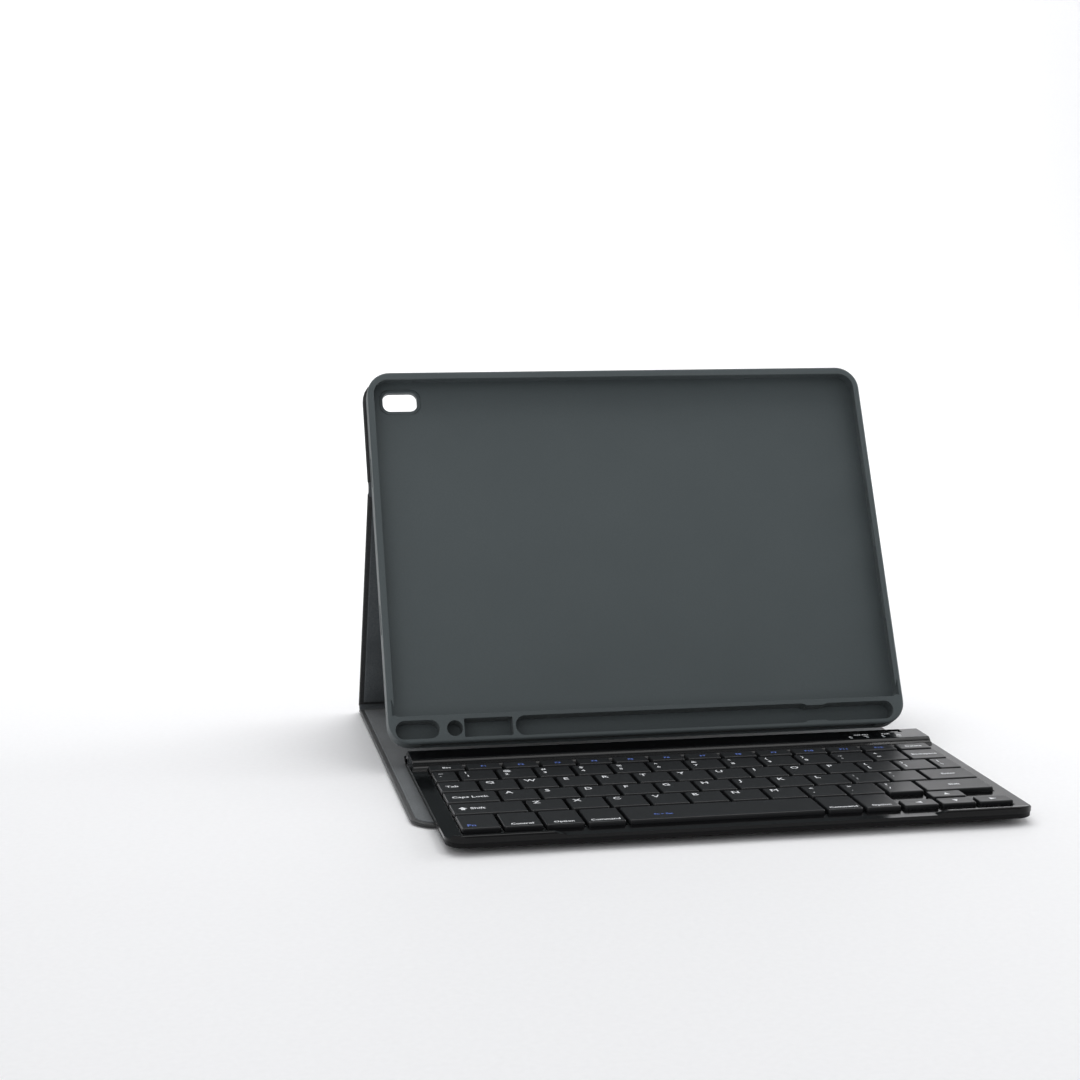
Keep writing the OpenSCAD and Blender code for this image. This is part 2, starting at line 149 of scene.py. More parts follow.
# %% The paper sweep
FLOOR_HALF, FLOOR_TOP = 3.0, 2.5
BEND_Y, BEND_R, BEND_STEPS = 2.2, 0.8, 12
FLOOR_Z = -0.0002  # just under the feet, so that no two faces lie in one plane
sweep = [(-FLOOR_HALF, 0.0)]
for step in range(BEND_STEPS + 1):
    a = math.radians(90 * step / BEND_STEPS)
    sweep.append((BEND_Y + BEND_R * math.sin(a), BEND_R - BEND_R * math.cos(a)))
sweep.append((BEND_Y + BEND_R, FLOOR_TOP))
points = [(x, y, z + FLOOR_Z) for y, z in sweep for x in (-FLOOR_HALF, FLOOR_HALF)]
floor_mesh = bpy.data.meshes.new("floor")
faces = [(2 * i, 2 * i + 1, 2 * i + 3, 2 * i + 2) for i in range(len(sweep) - 1)]
floor_mesh.from_pydata(points, [], faces)
for face in floor_mesh.polygons:
    face.use_smooth = True
floor = bpy.data.objects.new("floor", floor_mesh)
bpy.context.collection.objects.link(floor)
paper, paper_tree, paper_shader = new_material("white_paper_sweep", Roughness=0.6)
paper_grain = node(paper_tree, "ShaderNodeTexNoise", {"Vector": object_coordinates(paper_tree, 400.0)},
                   Scale=1.0, Detail=2.0)
paper_mix = node(paper_tree, "ShaderNodeMix", {"Factor": paper_grain}, data_type="RGBA",
                 A=linear("f1f1f2"), B=linear("f7f7f8"))
paper_tree.links.new(result(paper_mix), paper_shader.inputs["Base Color"])
floor_mesh.materials.append(paper)
print("sweep:", len(faces), "strips")

# %% [markdown]
# ## The lights
# One large soft box hangs over the case and a little behind it, so the glossy keyboard takes a
# long reflection. A weaker box fills from the front, and one from the right draws the rims. The
# backdrop has a lamp of its own that faces away from the case, so it can be white while the
# case stays dark.

# %% Soft boxes and sky
def soft_box(name, at, aim, size, watts):
    """A rectangular area light at one point, aimed at another."""
    data = bpy.data.lights.new(name, "AREA")
    data.shape = "RECTANGLE"
    data.size, data.size_y = size
    data.energy = watts
    lamp = bpy.data.objects.new(name, data)
    lamp.location = at
    lamp.rotation_euler = (Vector(aim) - Vector(at)).to_track_quat("-Z", "Y").to_euler()
    lamp.visible_camera = False
    bpy.context.collection.objects.link(lamp)


MIDDLE = (0.0, 0.0, 0.06)
soft_box("overhead_box", (0.15, 0.45, 1.5), MIDDLE, (1.6, 1.2), 13.0)
soft_box("front_fill", (-0.9, -1.5, 0.9), MIDDLE, (1.4, 1.0), 5.0)
soft_box("right_rim", (1.3, 0.35, 0.55), MIDDLE, (0.9, 0.7), 7.0)
soft_box("backdrop_wash", (0.0, 1.3, 1.7), (0.0, 2.9, 0.3), (3.4, 0.5), 44.0)
world = bpy.data.worlds.new("studio")
bpy.context.scene.world = world
world.use_nodes = True
sky = world.node_tree.nodes["Background"]
sky.inputs["Color"].default_value = linear("f6f7f9")
sky.inputs["Strength"].default_value = 0.48
print(len(bpy.data.lights), "soft boxes and a pale sky")

# %% [markdown]
# ## Moulded plastics and rubbers
# Most pieces come out of a mould, whose walls are spark-eroded to a fine even texture. What differs
# is the plastic, its colour and how coarse the texture is. So one function makes them all: a soft
# cloudiness in the colour, a bump of one grain size, and a roughness that wanders a little, as
# handling polishes some places more than others. An image could hold this too, but would need
# unwrapping, and nodes follow any shape.

# %% A moulded material
CLOUD_MM = 38.0  # size of the cloudiness


def moulded(name, dark, light, grain_mm, grain_depth_mm, rough, spread=0.06, **shader):
    """dark and light are the ends of the colour's cloudiness, and rough the middle of the roughness."""
    m, tree, bsdf = new_material(name, **shader)
    in_mm = object_coordinates(tree)
    grain = node(tree, "ShaderNodeTexNoise", {"Vector": in_mm}, Scale=1.0 / grain_mm, Detail=3.0)
    cloud = node(tree, "ShaderNodeTexNoise", {"Vector": in_mm}, Scale=1.0 / CLOUD_MM, Detail=4.0)
    both = node(tree, "ShaderNodeMath", {"Value": cloud}, operation="MULTIPLY_ADD")
    tree.links.new(result(grain), both.inputs[1])
    both.inputs[2].default_value = 0.2
    colour = node(tree, "ShaderNodeMix", {"Factor": both}, data_type="RGBA",
                  A=linear(dark), B=linear(light))
    tree.links.new(result(colour), bsdf.inputs["Base Color"])
    wander = node(tree, "ShaderNodeMapRange", {"Value": cloud},
                  To_Min=rough - spread, To_Max=rough + spread)
    tree.links.new(result(wander), bsdf.inputs["Roughness"])
    bump = node(tree, "ShaderNodeBump", {"Height": grain}, Strength=1.0, Distance=grain_depth_mm * MM)
    tree.links.new(result(bump), bsdf.inputs["Normal"])
    return m


# Real textures are 0.1 to 0.3 mm. They are drawn at 0.6 to 0.9 mm, so that they show at all.
soft_tpu = moulded("soft_tpu_slate", "485052", "535b5d", 0.8, 0.035, 0.56, IOR=1.50,
                   Specular_IOR_Level=0.4, Sheen_Weight=0.08, Sheen_Roughness=0.5)
keycap_abs = moulded("keycap_abs_spark_eroded", "17181a", "1e1f21", 0.6, 0.012, 0.34, 0.04, IOR=1.54,
                     Specular_IOR_Level=0.3)
matte_abs = moulded("matte_abs_black", "0b0b0c", "111112", 0.7, 0.03, 0.5, IOR=1.54,
                    Specular_IOR_Level=0.12)
foot_rubber = moulded("foot_rubber_black", "101010", "1c1c1c", 0.7, 0.03, 0.75, IOR=1.52)
dome_silicone = moulded("dome_silicone", "cfcfc6", "dddcd4", 0.8, 0.02, 0.45, IOR=1.41)
acetal = moulded("acetal_white", "dcdcd4", "e8e8e2", 0.8, 0.01, 0.35, IOR=1.48)
polyester_film = moulded("carbon_printed_polyester_film", "141515", "202222", 2.0, 0.005, 0.3, IOR=1.64)
solder_mask = moulded("solder_mask_black", "0c100e", "151a17", 1.2, 0.01, 0.3, IOR=1.55)
print("moulded materials:", len(bpy.data.materials))

# %% [markdown]
# ## Glossy black ABS
# The keyboard's top case is polished in the mould and comes out like piano lacquer. Under a soft box
# such a surface is mostly reflection, so what makes it real is in the gloss: a slow waviness of
# the wall, and fine dust and wipe marks that dull it in places.

# %% Gloss ABS
WAVE_MM, WAVE_DEPTH_MM = 14.0, 0.03
WIPE_PER_MM = (0.03, 0.09, 0.09)  # wipe marks run along the case, about 33 by 11 mm
gloss_abs, tree, shader = new_material("gloss_abs_black", IOR=1.54, Specular_IOR_Level=0.2)
in_mm = object_coordinates(tree)
wave = node(tree, "ShaderNodeTexNoise", {"Vector": in_mm}, Scale=1.0 / WAVE_MM, Detail=1.0)
along = node(tree, "ShaderNodeMapping", {"Vector": in_mm}, Scale=WIPE_PER_MM)
wipe = node(tree, "ShaderNodeTexNoise", {"Vector": along}, Scale=1.0, Detail=4.0, Roughness=0.5)
dull = node(tree, "ShaderNodeMapRange", {"Value": wipe}, From_Min=0.35, From_Max=0.8,
            To_Min=0.1, To_Max=0.16)
tree.links.new(result(dull), shader.inputs["Roughness"])
depth = node(tree, "ShaderNodeMix", {"Factor": wipe}, data_type="RGBA",
             A=linear("050506"), B=linear("0a0a0b"))
tree.links.new(result(depth), shader.inputs["Base Color"])
skin_bump = node(tree, "ShaderNodeBump", {"Height": wave}, Strength=1.0, Distance=WAVE_DEPTH_MM * MM)
tree.links.new(result(skin_bump), shader.inputs["Normal"])
print("gloss ABS ready")

# %% [markdown]
# ## Folio leather
# The outside is polyurethane leather: a film pressed with a pebble grain over a knitted back. The
# grain is a field of small rounded cells with creases between them, and that is a Voronoi
# pattern. The cells catch the light on their tops, and that is painted into the colour as painted
# shade in the creases between them. The film wears smoother where hands hold it.

# %% Polyurethane leather
GRAIN_MM = 0.9  # real grain is about 0.5 mm, drawn coarser so that it shows
GRAIN_DEPTH_MM = 0.05
WEAR_MM = 55.0  # size of the patches that hands have polished
folio_leather, tree, shader = new_material("polyurethane_leather_charcoal", IOR=1.5, Coat_Weight=0.06,
                                           Coat_Roughness=0.35, Sheen_Weight=0.08)
in_mm = object_coordinates(tree)
drift = node(tree, "ShaderNodeTexNoise", {"Vector": in_mm}, Scale=0.35, Detail=2.0)
bent = node(tree, "ShaderNodeVectorMath", {"Vector": in_mm}, operation="ADD")
tree.links.new(drift.outputs["Color"], bent.inputs[1])
pebble = node(tree, "ShaderNodeTexVoronoi", {"Vector": bent}, feature="DISTANCE_TO_EDGE",
              Scale=1.0 / GRAIN_MM)
top = node(tree, "ShaderNodeMapRange", {"Value": pebble}, interpolation_type="SMOOTHSTEP",
           From_Min=0.0, From_Max=0.28)
cloud = node(tree, "ShaderNodeTexNoise", {"Vector": in_mm}, Scale=1.0 / WEAR_MM, Detail=5.0)
ground = node(tree, "ShaderNodeMix", {"Factor": cloud}, data_type="RGBA",
              A=linear("262729"), B=linear("313234"))
# painted shade: the colour is darker in the creases between the cells, so their tops read as lit
painted_crease_shade = node(tree, "ShaderNodeMix", {"Factor": top, "B": ground}, data_type="RGBA", A=linear("1a1b1c"))
tree.links.new(result(painted_crease_shade), shader.inputs["Base Color"])
polish = node(tree, "ShaderNodeMapRange", {"Value": cloud}, To_Min=0.62, To_Max=0.42)
tree.links.new(result(polish), shader.inputs["Roughness"])
grain_bump = node(tree, "ShaderNodeBump", {"Height": top}, Strength=0.8, Distance=GRAIN_DEPTH_MM * MM)
tree.links.new(result(grain_bump), shader.inputs["Normal"])
print("folio leather ready, grain", GRAIN_MM, "mm")

# %% [markdown]
# ## Microfibre lining
# The inside is a brushed microfibre, which keeps the glass from scratches. Its short nap lies
# mostly one way, so the light runs along it in faint streaks, and its edge glows when it is seen
# along the surface. Stretched noise gives the nap, and its streaks of light are painted into the
# colour as a painted sheen. The shader's sheen gives the glow.

# %% Microfibre
NAP_MM = 0.7  # the nap is about 0.2 mm, drawn coarser so that it shows
NAP_DEPTH_MM = 0.12
STROKE_MM = 30.0  # size of the patches that a hand has stroked
microfibre, tree, shader = new_material("brushed_microfibre_grey", Roughness=0.85, IOR=1.45,
                                        Sheen_Weight=0.35, Sheen_Roughness=0.4)
in_mm = object_coordinates(tree)
lie = node(tree, "ShaderNodeMapping", {"Vector": in_mm}, Scale=(1.0 / NAP_MM, 0.35 / NAP_MM, 1.0 / NAP_MM))
nap = node(tree, "ShaderNodeTexNoise", {"Vector": lie}, Scale=1.0, Detail=5.0, Roughness=0.6)
strokes = node(tree, "ShaderNodeTexNoise", {"Vector": in_mm}, Scale=1.0 / STROKE_MM, Detail=4.0)
shade = node(tree, "ShaderNodeMath", {"Value": nap}, operation="MULTIPLY")
tree.links.new(result(strokes), shade.inputs[1])
spread = node(tree, "ShaderNodeMapRange", {"Value": shade}, From_Min=0.12, From_Max=0.4)
# painted sheen: streaks of light along the nap, stronger in the stroked patches, set in the colour
painted_nap_sheen = node(tree, "ShaderNodeMix", {"Factor": spread}, data_type="RGBA",
            A=linear("43474a"), B=linear("5a5f62"))
tree.links.new(result(painted_nap_sheen), shader.inputs["Base Color"])
nap_bump = node(tree, "ShaderNodeBump", {"Height": nap}, Strength=0.7, Distance=NAP_DEPTH_MM * MM)
tree.links.new(result(nap_bump), shader.inputs["Normal"])
print("microfibre ready, nap", NAP_MM, "mm")

# %% [markdown]
# ## Metals and clear parts
# The steel shell of the charging port, the screws, the magnets' nickel and the plate are rolled or
# plated metals. A fine brushing along the rolling direction and a little roughness is enough.

# %% Metals and the indicator windows
ROLLING_PER_MM = (0.05, 2.5, 2.5)  # lines 20 mm long and 0.4 mm apart


def rolled_metal(name, dark, light, rough):
    """A metal with fine lines along X from its rolling. dark and light are the ends of its colour."""
    m, tree, bsdf = new_material(name, Metallic=1.0)
    in_mm = object_coordinates(tree)
    lines = node(tree, "ShaderNodeMapping", {"Vector": in_mm}, Scale=ROLLING_PER_MM)
    brush = node(tree, "ShaderNodeTexNoise", {"Vector": lines}, Scale=1.0, Detail=4.0)
    dull = node(tree, "ShaderNodeMapRange", {"Value": brush}, To_Min=rough - 0.08, To_Max=rough + 0.08)
    tree.links.new(result(dull), bsdf.inputs["Roughness"])
    shade = node(tree, "ShaderNodeMix", {"Factor": brush}, data_type="RGBA",
                 A=linear(dark), B=linear(light))
    tree.links.new(result(shade), bsdf.inputs["Base Color"])
    return m


bright_steel = rolled_metal("bright_stamped_steel", "83878b", "989ca0", 0.3)
nickel = rolled_metal("nickel_plate", "a8a195", "bdb6aa", 0.25)
aluminium_sheet = rolled_metal("aluminium_sheet", "adb0b3", "c4c7ca", 0.4)
pouch_foil = rolled_metal("aluminium_laminate_pouch", "9fa2a6", "b9bcc0", 0.45)
frosted_lens = moulded("frosted_polycarbonate", "d4dde0", "e6eef0", 0.4, 0.01, 0.35, IOR=1.58,
                       Transmission_Weight=0.6)
print("metals ready")

# %% [markdown]
# ## How the pieces are shaped
# Nearly everything here is a thin plate with rounded corners: a board under leather, a sheet of
# lining, a key. Such a plate is a stack of rings. Each ring is the same outline drawn in by an
# inset at some height, and neighbouring rings are joined by faces, as in a lathe but with a
# rounded rectangle. That gives every edge its own profile, which a bevel can't.

# %% Rings and plates
CORNER_STEPS = 7
LEAST_R = 0.05


def rounded_outline(x0, x1, y0, y1, r_low, r_high, inset=0.0):
    """Points round a rectangle, with one radius at its low corners and another at its high ones."""
    x0, x1, y0, y1 = x0 + inset, x1 - inset, y0 + inset, y1 - inset
    low, high = max(r_low - inset, LEAST_R), max(r_high - inset, LEAST_R)
    corners = [(x1 - low, y0 + low, low, -90), (x1 - high, y1 - high, high, 0),
               (x0 + high, y1 - high, high, 90), (x0 + low, y0 + low, low, 180)]
    out = []
    for cx, cy, r, start in corners:
        for i in range(CORNER_STEPS + 1):
            a = math.radians(start + 90 * i / CORNER_STEPS)
            out.append((cx + r * math.cos(a), cy + r * math.sin(a)))
    return out


def add_rings(bm, loops, closed=False):
    """Joins loops of points, in millimetres, into a skin. An open stack gets a lid at both ends."""
    made = [[bm.verts.new(Vector(p) * MM) for p in loop] for loop in loops]
    count = len(made[0])
    pairs = list(zip(made, made[1:])) + ([(made[-1], made[0])] if closed else [])
    faces = []
    for a, b in pairs:
        for i in range(count):
            j = (i + 1) % count
            faces.append(bm.faces.new((a[i], a[j], b[j], b[i])))
    if not closed:
        faces.append(bm.faces.new(list(reversed(made[0]))))
        faces.append(bm.faces.new(made[-1]))
    for face in faces:
        face.smooth = True


def add_plate(bm, rect, profile):
    """rect is an outline's arguments, and profile its (inset, height) pairs from side to side."""
    add_rings(bm, [[(x, y, z) for x, y in rounded_outline(*rect, inset)] for inset, z in profile])


print("ring helpers ready,", CORNER_STEPS, "steps to a corner")

# %% [markdown]
# ## Finishing a piece
# A mesh is only points and faces. To become a piece it needs to know where its edges are sharp,
# which materials it has, where it lies, on which body it rides and which CAD nodes it stands for.
# Large flat faces also set the shading at their corners, so that light runs straight over them.

# %% From a mesh to a piece
def finished(bm, name, materials, place=None, sharp_deg=32.0):
    """A new object from the mesh, in its place, smooth where faces meet at less than sharp_deg."""
    bmesh.ops.recalc_face_normals(bm, faces=bm.faces)
    for edge in bm.edges:
        edge.smooth = len(edge.link_faces) == 2 and edge.calc_face_angle(0.0) < math.radians(sharp_deg)
    mesh = bpy.data.meshes.new(name)
    bm.to_mesh(mesh)
    bm.free()
    if place is not None:
        mesh.transform(place)
    for material in materials:
        mesh.materials.append(material)
    made = bpy.data.objects.new(name, mesh)
    bpy.context.collection.objects.link(made)
    return made


def baked(obj):
    """Replaces the object's mesh by what its modifiers make of it."""
    graph = bpy.context.evaluated_depsgraph_get()
    mesh = bpy.data.meshes.new_from_object(obj.evaluated_get(graph))
    obj.modifiers.clear()
    obj.data = mesh
    return obj


def evened(obj):
    """Lets each large flat face set the shading at its corners, so that it looks flat."""
    even = obj.modifiers.new("even_shading", "WEIGHTED_NORMAL")
    even.weight = 90  # of 100: nearly all to the largest faces
    even.keep_sharp = True
    return baked(obj)


def dress(piece, body, slot_name, *stands_for):
    """The piece rides on a body and stands for CAD nodes. slot_name is not used."""
    if body:
        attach(piece, body)
    if stands_for:
        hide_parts(*stands_for)
    print(f"{piece.name}: {len(piece.data.polygons)} faces")


print("finishing helpers ready")

# %% [markdown]
# ## Where the panels lie
# The frame's two hinges say where the leather folds: at the foot, between the cover and the leg,
# and behind the tray, between the leg and the upper panel. Each panel is drawn flat, with X
# across, Y along and Z from the leather to the lining, and a matrix lays it in its place.

# %% Places from the hinges
hinges = {j["name"]: Vector(j["pos_m"]) for j in frame["joints"] if j["type"] == "hinge"}
FOOT, FOLD = hinges["leg_tilt"], hinges["stand_fold"]
FOLIO_T, FOLIO_X = 2.2, 128.5  # thickness and half width
FOLD_HALF = 3.0  # a fold's reach on either side of its hinge
LEATHER_R = 13.0
COVER_FRONT = -98.0
LEG_LENGTH = (FOLD - FOOT).length / MM
LEG_LEAN = math.atan2(FOOT.y - FOLD.y, FOLD.z - FOOT.z)
TRAY_LEAN = math.radians(27.0)
TRAY_FOOT = Vector((0.0, 0.0, 13.3)) * MM
TRAY_T, TRAY_H, FOLD_H = 10.1, 189.0, 132.0  # FOLD_H is the fold's height up the tray
UPPER_RISE = 1.4  # how far the upper panel stands above the tray
on_leg = (Matrix.Translation(FOOT) @ Matrix.Rotation(math.radians(90) + LEG_LEAN, 4, "X")
          @ Matrix.Translation((0, 0, -FOLIO_T / 2 * MM)))
on_tray = Matrix.Translation(TRAY_FOOT) @ Matrix.Rotation(-TRAY_LEAN, 4, "X")
on_upper = (on_tray @ Matrix.Translation((0, (TRAY_T + FOLIO_T) * MM, 0))
            @ Matrix.Rotation(math.radians(90), 4, "X"))
COVER_Y = (COVER_FRONT, FOOT.y / MM - FOLD_HALF)
LEG_Y = (FOLD_HALF, LEG_LENGTH - FOLD_HALF)
UPPER_Y = (FOLD_H + FOLD_HALF, TRAY_H + UPPER_RISE)
print("leg", round(LEG_LENGTH, 1), "mm long, leaning", round(math.degrees(LEG_LEAN), 1), "degrees")

# %% [markdown]
# ## The leather panels
# The leather is glued over boards, turned round their edges and pressed. The iron leaves each
# board's outline as a shallow step, so a panel is a soft-edged skin with raised fields on
# its outside. The lining is glued over the turned edge and stops short of it, and that shows as
# a thin leather border round the grey.

# %% Panel builder
SKIN_PROFILE = [(0.9, 0.30), (0.45, 0.34), (0.12, 0.55), (0.0, 0.95), (0.0, 1.25), (0.12, 1.65),
                (0.45, 1.86), (0.9, 1.90)]
FIELD_PROFILE = [(0.3, 0.5), (0.0, 0.32), (0.12, 0.14), (0.5, 0.03), (1.3, 0.0)]
LINING_PROFILE = [(2.6, 1.6), (2.5, 1.98), (2.75, 2.15), (3.3, 2.2)]
FIELD_SIDE, FIELD_END = 4.5, 4.5  # leather border beside a field and at a free edge
FOLD_BORDER = 3.0  # leather border at a fold
SOFT_DEG = 60.0  # leather shades smoothly over any edge less steep than this


def folio_panel(name, rect, fields, place):
    """Leather skin with raised fields, as one object, and its lining as another."""
    bm = bmesh.new()
    add_plate(bm, rect, SKIN_PROFILE)
    for raised in fields:
        add_plate(bm, raised, FIELD_PROFILE)
    skin = evened(finished(bm, name, [folio_leather], place, SOFT_DEG))
    bm = bmesh.new()
    add_plate(bm, rect, LINING_PROFILE)
    lining = finished(bm, name.replace("leather", "lining"), [microfibre], place, SOFT_DEG)
    return skin, evened(lining)


def field(y0, y1, r_low=4.0, r_high=4.0):
    """The outline of a raised field across the folio."""
    return (-FOLIO_X + FIELD_SIDE, FOLIO_X - FIELD_SIDE, y0, y1, r_low, r_high)


SPINE_Y = FOOT.y / MM - 21.5  # where the spine begins
NARROW_Y = (SPINE_Y - 51.0, SPINE_Y - 3.0)
BETWEEN = 10.0  # from the wide field to the narrow one
CUT_R = 0.3  # radius of a corner that lies in a fold
cover_fields = [field(COVER_Y[0] + FIELD_END, NARROW_Y[0] - BETWEEN, 9.0), field(*NARROW_Y),
                field(SPINE_Y + 2.0, COVER_Y[1] - 2.0)]
cover_rect = (-FOLIO_X, FOLIO_X, *COVER_Y, LEATHER_R, CUT_R)
leg_rect = (-FOLIO_X, FOLIO_X, *LEG_Y, CUT_R, CUT_R)
leg_fields = [field(LEG_Y[0] + FOLD_BORDER, LEG_Y[1] - FOLD_BORDER)]
cover_leather, cover_lining = folio_panel("cover_leather", cover_rect, cover_fields, None)
leg_leather, leg_lining = folio_panel("leg_leather", leg_rect, leg_fields, on_leg)
dress(cover_leather, "front_cover", "folio_leather", "cover_leather", "wide_board", "narrow_board",
      "spine_board", "cover_magnets")
dress(cover_lining, "front_cover", "microfibre_lining", "cover_lining")
dress(leg_leather, "stand_leg", "folio_leather", "leg_leather", "leg_board")
dress(leg_lining, "stand_leg", "microfibre_lining", "leg_lining")

# %% [markdown]
# ## The upper panel and its camera window
# The window goes through the leather and the board. It is punched before the leather is glued to
# the tray, so its edge is a clean cut, and a cut is what a boolean modifier makes. The skin and
# its raised field overlap, so each is cut alone, and then they are joined.

# %% Upper leather
def cut_out(obj, bm, place):
    """Cuts the solid in bm out of obj."""
    cutter = finished(bm, "cutter", [], place)
    cutting = obj.modifiers.new("cut", "BOOLEAN")
    cutting.object = cutter
    cutting.solver = "EXACT"
    baked(obj)
    bpy.data.objects.remove(cutter)


def joined(first, second):
    """Adds second's mesh to first's, and removes second."""
    bm = bmesh.new()
    bm.from_mesh(first.data)
    bm.from_mesh(second.data)
    bm.to_mesh(first.data)
    bm.free()
    bpy.data.objects.remove(second)
    return first


def windowed(rect, profile):
    """A plate of the upper leather with the window cut out of it."""
    bm = bmesh.new()
    add_plate(bm, rect, profile)
    shell = finished(bm, "upper_leather", [folio_leather], on_upper, SOFT_DEG)
    bm = bmesh.new()
    add_plate(bm, WINDOW, [(0.0, -3.0), (0.0, 6.0)])
    cut_out(shell, bm, on_upper)
    return evened(shell)


WINDOW_X, WINDOW_Y, WINDOW_HALF_X, WINDOW_HALF_Y, WINDOW_R = -110.1, 176.5, 9.85, 6.3, 5.0
WINDOW = (WINDOW_X - WINDOW_HALF_X, WINDOW_X + WINDOW_HALF_X,
          WINDOW_Y - WINDOW_HALF_Y, WINDOW_Y + WINDOW_HALF_Y, WINDOW_R, WINDOW_R)
upper_rect = (-FOLIO_X, FOLIO_X, *UPPER_Y, CUT_R, LEATHER_R)
upper_field = field(UPPER_Y[0] + FOLD_BORDER, UPPER_Y[1] - FIELD_END, 4.0, 9.0)
upper_leather = joined(windowed(upper_rect, SKIN_PROFILE), windowed(upper_field, FIELD_PROFILE))
dress(upper_leather, "tray", "folio_leather", "upper_leather", "upper_board", "adhesive_sheet")

# %% [markdown]
# ## The window's collar
# The tray's own rim stands in the window as a soft grey collar, and a thin flange under the
# leather seals it. Its section is a closed line, and rings carry that section round the window.

# %% Collar
bm = bmesh.new()
COLLAR = [(0.05, 0.55), (0.05, 1.95), (-0.8, 1.95), (-0.8, 2.2), (-0.3, 2.2), (-0.3, 3.5), (0.0, 3.65),
          (1.0, 3.65), (1.25, 3.4), (1.25, 0.75), (1.0, 0.45), (0.4, 0.4)]
add_rings(bm, [[(x, y, z) for x, y in rounded_outline(*WINDOW, i)] for i, z in COLLAR], closed=True)
window_collar = finished(bm, "camera_window_collar", [soft_tpu], on_upper)
dress(window_collar, "tray", "soft_tray")

# %% [markdown]
# ## The folds
# Between two panels there is only leather and lining, and it bends. At rest each fold is a short
# arc that leaves one panel and meets the next without a kink. It is swept across the width and
# pinched a little by fine creases.

# %% Fold builder
ARC_STEPS = 12
TUCK_MM = 1.2  # how far a fold's end reaches under the panel beside it
LEATHER_HALF, LINING_HALF = 0.80, 0.95  # from the hinge line to either skin
RIPPLE, RIPPLE_TURN, DRIFT_TURN = 0.10, 0.31, 0.11  # depth, and radians of wave and drift per mm
EDGE_X, EDGE_FAT = (0.35, 0.8, 1.5), (0.55, 0.85)  # rings close to a side edge, and their thickness
ACROSS_STEPS = 60


def bend_of(corner, toward_a, toward_b):
    """The arc round corner: its centre, radius, and (direction, shift, share of the way) along it."""
    turn = math.pi - toward_a.angle(toward_b)
    radius = FOLD_HALF / math.tan(turn / 2) * MM
    centre = corner + (toward_a + toward_b).normalized() * (radius / math.cos(turn / 2))
    first = (corner + toward_a * FOLD_HALF * MM - centre).normalized()
    last = (corner + toward_b * FOLD_HALF * MM - centre).normalized()
    spokes = [(first, toward_a * TUCK_MM * MM, 0.0)]
    for i in range(ARC_STEPS + 1):
        share = i / ARC_STEPS
        spokes.append((first.slerp(last, share), Vector((0, 0, 0)), share))
    spokes.append((last, toward_b * TUCK_MM * MM, 1.0))
    return centre, radius, spokes


def places_across():
    """(x, thickness) of each ring of a fold, closer together at the two side edges."""
    edge_x = [FOLIO_X - x for x in EDGE_X]
    across = [-x for x in edge_x]
    across += [-edge_x[-1] + 2 * edge_x[-1] * i / ACROSS_STEPS for i in range(1, ACROSS_STEPS)]
    across += edge_x[::-1]
    fat = [*EDGE_FAT] + [1.0] * (len(across) - 2 * len(EDGE_FAT)) + [*EDGE_FAT[::-1]]
    return list(zip(across, fat))


def fold_band(name, corner, toward_a, toward_b, outside):
    """A strip round corner between two panels. outside is the leather's side of panel a."""
    centre, radius, spokes = bend_of(corner, toward_a, toward_b)
    outward = 1.0 if outside.dot(toward_a + toward_b) < 0 else -1.0
    loops = []
    for x, fat in places_across():
        wave_at_x = RIPPLE * math.sin(RIPPLE_TURN * x + 2.0 * math.sin(DRIFT_TURN * x))
        leather_side, lining_side = [], []
        for spoke, shift, share in spokes:
            wrinkle = wave_at_x * math.sin(math.pi * share)
            base = centre + spoke * radius + shift
            leather_side.append(base + spoke * outward * LEATHER_HALF * fat * MM)
            lining_side.append(base - spoke * outward * (LINING_HALF + wrinkle) * fat * MM)
        loops.append([(x, p.y / MM, p.z / MM) for p in leather_side + lining_side[::-1]])
    bm = bmesh.new()
    add_rings(bm, loops)
    bm.verts.index_update()
    for face in bm.faces:
        places = [v.index % (2 * len(spokes)) for v in face.verts]
        if len(places) == 4 and min(places) >= len(spokes):
            face.material_index = 1
    band = finished(bm, name, [folio_leather, microfibre], None, SOFT_DEG)
    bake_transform(band)
    dress(band, None, "folio_leather")


down_leg, up_leg = (FOOT - FOLD).normalized(), (FOLD - FOOT).normalized()
up_tray = Vector((0, math.sin(TRAY_LEAN), math.cos(TRAY_LEAN)))
leg_outside = Vector((0, math.cos(LEG_LEAN), math.sin(LEG_LEAN)))
fold_band("foot_fold", FOOT, up_leg, Vector((0, -1, 0)), leg_outside)
fold_band("upper_fold", FOLD, down_leg, up_tray, leg_outside)

# %% [markdown]
# ## The soft tray
# The tray is one piece of soft polyurethane. Its shape is the CAD model's, with its bay, pockets
# and slot. A mould can't make a sharp edge in a soft plastic, so the copy's edges are rounded:
# generously where fingers meet the outside, and a little everywhere else.

# %% Softened copies of CAD pieces
SAME_POINT_MM, SAME_PLANE_DEG = 0.004, 0.4  # closer than this is one point, flatter is one face
BEND_DEG, EDGE_DEG = 40, 35  # steeper than these is an edge to round


